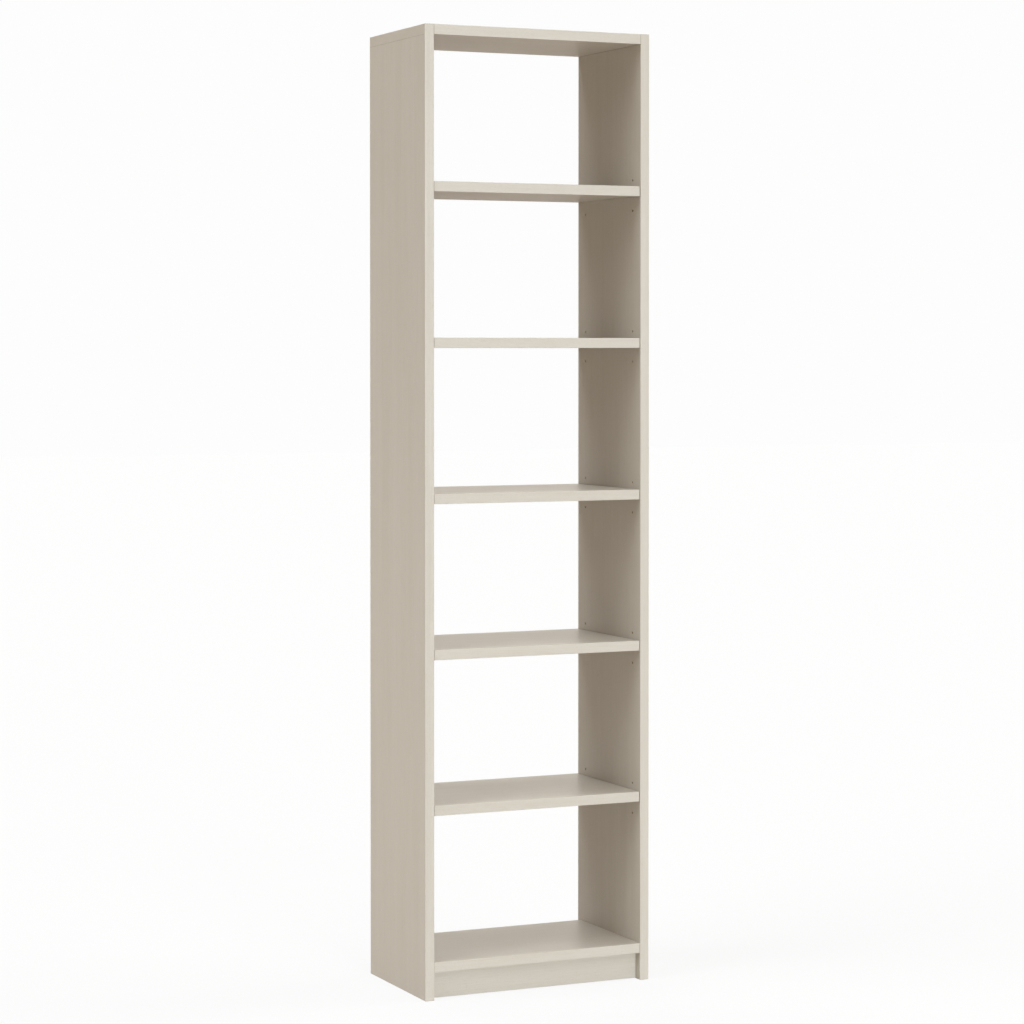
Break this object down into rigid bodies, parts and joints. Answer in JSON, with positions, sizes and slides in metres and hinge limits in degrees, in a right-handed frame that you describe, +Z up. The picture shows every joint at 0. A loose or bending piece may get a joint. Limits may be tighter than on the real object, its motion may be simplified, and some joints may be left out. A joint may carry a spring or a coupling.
{
  "type": "bookcase",
  "caption": "Tall narrow open bookcase with lipped boards, a recessed plinth, no back panel, and loose shelves that lift off hidden pins.",
  "frame": {"origin": "on the floor, at the centre of the case's footprint", "axes": "+X to the right seen from the front, +Y to the back, +Z up"},
  "size_m": [0.514, 0.3, 2],
  "materials": {
    "lacquered_board": "satin lacquer over fine-grained veneer",
    "lacquered_lipping": "satin lacquer over fine-grained veneer",
    "steel_pin": "nickel-plated",
    "plated_screw": "zinc-plated",
    "die_cast_zinc": "die-cast, dull",
    "beech_dowel": "raw beech",
    "cap_plastic": "moulded, colour-matched",
    "block_plastic": "moulded"
  },
  "bodies": {
    "carcass": {"left_side_panel": "lacquered_board", "right_side_panel": "lacquered_board", "left_side_lipping": "lacquered_lipping", "right_side_lipping": "lacquered_lipping", "top_board": "lacquered_board", "top_lipping": "lacquered_lipping", "top_screws": "plated_screw", "top_screw_caps": "cap_plastic", "top_dowels": "beech_dowel", "bottom_board": "lacquered_board", "bottom_lipping": "lacquered_lipping", "bottom_cams": "die_cast_zinc", "bottom_cam_bolts": "plated_screw", "bottom_dowels": "beech_dowel", "plinth_board": "lacquered_board", "plinth_dowels": "beech_dowel", "plinth_blocks": "block_plastic", "plinth_block_screws": "plated_screw", "shelf_1_pins": "steel_pin", "shelf_2_pins": "steel_pin", "shelf_3_pins": "steel_pin", "shelf_4_pins": "steel_pin", "shelf_5_pins": "steel_pin"},
    "shelf_1": {"shelf_1_board": "lacquered_board", "shelf_1_lipping": "lacquered_lipping"},
    "shelf_2": {"shelf_2_board": "lacquered_board", "shelf_2_lipping": "lacquered_lipping"},
    "shelf_3": {"shelf_3_board": "lacquered_board", "shelf_3_lipping": "lacquered_lipping"},
    "shelf_4": {"shelf_4_board": "lacquered_board", "shelf_4_lipping": "lacquered_lipping"},
    "shelf_5": {"shelf_5_board": "lacquered_board", "shelf_5_lipping": "lacquered_lipping"}
  },
  "joints": [
    {"name": "shelf_1_lift", "type": "slide", "parent": "carcass", "child": "shelf_1", "axis": [0, 0, 1], "range_m": [0, 0.298]},
    {"name": "shelf_2_lift", "type": "slide", "parent": "carcass", "child": "shelf_2", "axis": [0, 0, 1], "range_m": [0, 0.298]},
    {"name": "shelf_3_lift", "type": "slide", "parent": "carcass", "child": "shelf_3", "axis": [0, 0, 1], "range_m": [0, 0.298]},
    {"name": "shelf_4_lift", "type": "slide", "parent": "carcass", "child": "shelf_4", "axis": [0, 0, 1], "range_m": [0, 0.298]},
    {"name": "shelf_5_lift", "type": "slide", "parent": "carcass", "child": "shelf_5", "axis": [0, 0, 1], "range_m": [0, 0.298]}
  ]
}
